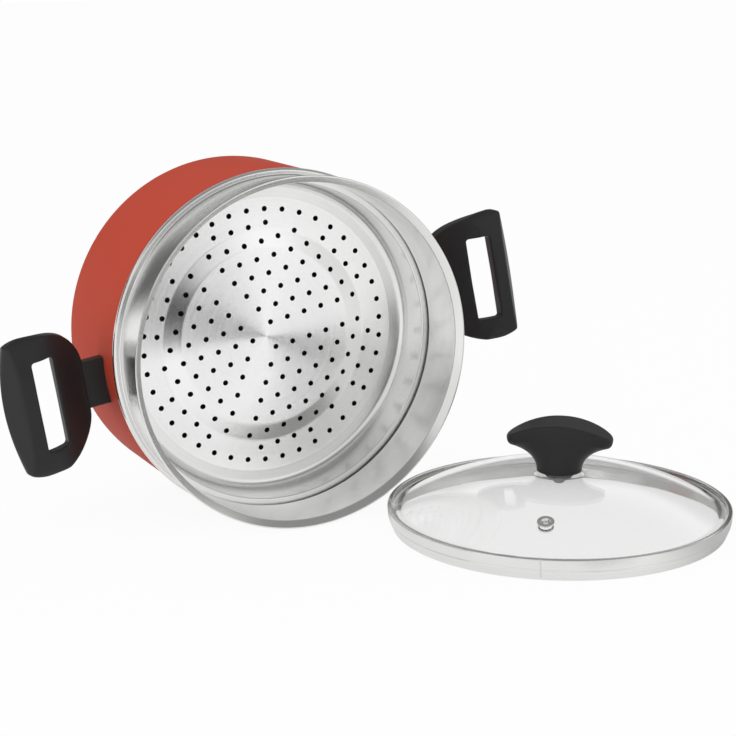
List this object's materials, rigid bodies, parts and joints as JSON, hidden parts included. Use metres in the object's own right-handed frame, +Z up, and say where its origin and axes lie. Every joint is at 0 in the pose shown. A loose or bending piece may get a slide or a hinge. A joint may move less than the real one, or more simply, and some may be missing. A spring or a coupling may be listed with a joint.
{
  "type": "steamer pot",
  "caption": "Red pot on its side with a perforated steel steamer insert in its mouth and black loop handles; its domed glass lid with steel band and oval knob lies beside it.",
  "frame": {"origin": "centre of the arrangement's footprint, on the surface that the pot and the lid lie on", "axes": "+X along the arrangement, from the pot towards the lid; -Y is the way the pot's mouth faces; +Z up"},
  "size_m": [0.4876, 0.3496, 0.2523],
  "materials": {
    "red_coating": "satin red coating on aluminium",
    "polished_steel": "bright polished stainless steel with fine spun lines",
    "plain_steel": "plain satin steel",
    "black_bakelite": "moulded black bakelite, satin",
    "clear_glass": "clear tempered glass",
    "brass": "turned brass",
    "grey_silicone": "soft grey silicone"
  },
  "bodies": {
    "pot": {"pot_body": "red_coating", "right_handle_grip": "black_bakelite", "right_handle_bracket": "plain_steel", "right_handle_washer": "plain_steel", "right_handle_screw": "plain_steel", "left_handle_grip": "black_bakelite", "left_handle_bracket": "plain_steel", "left_handle_washer": "plain_steel", "left_handle_screw": "plain_steel"},
    "insert": {"steamer_insert": "polished_steel"},
    "lid": {"lid_glass": "clear_glass", "lid_rim_band": "polished_steel", "steam_vent_eyelet": "plain_steel", "steam_vent_washer": "plain_steel", "lid_knob": "black_bakelite", "knob_threaded_insert": "brass", "knob_seal": "grey_silicone", "knob_washer": "plain_steel", "knob_screw": "plain_steel"}
  },
  "joints": [
    {"name": "insert_lift", "type": "slide", "parent": "pot", "child": "insert", "axis": [0, -0.9999, 0.0116], "range_m": [0, 0.08]},
    {"name": "lid_lift", "type": "slide", "parent": "insert", "child": "lid", "axis": [0.8079, -0.312, 0.4999], "range_m": [0, 0.15]}
  ]
}
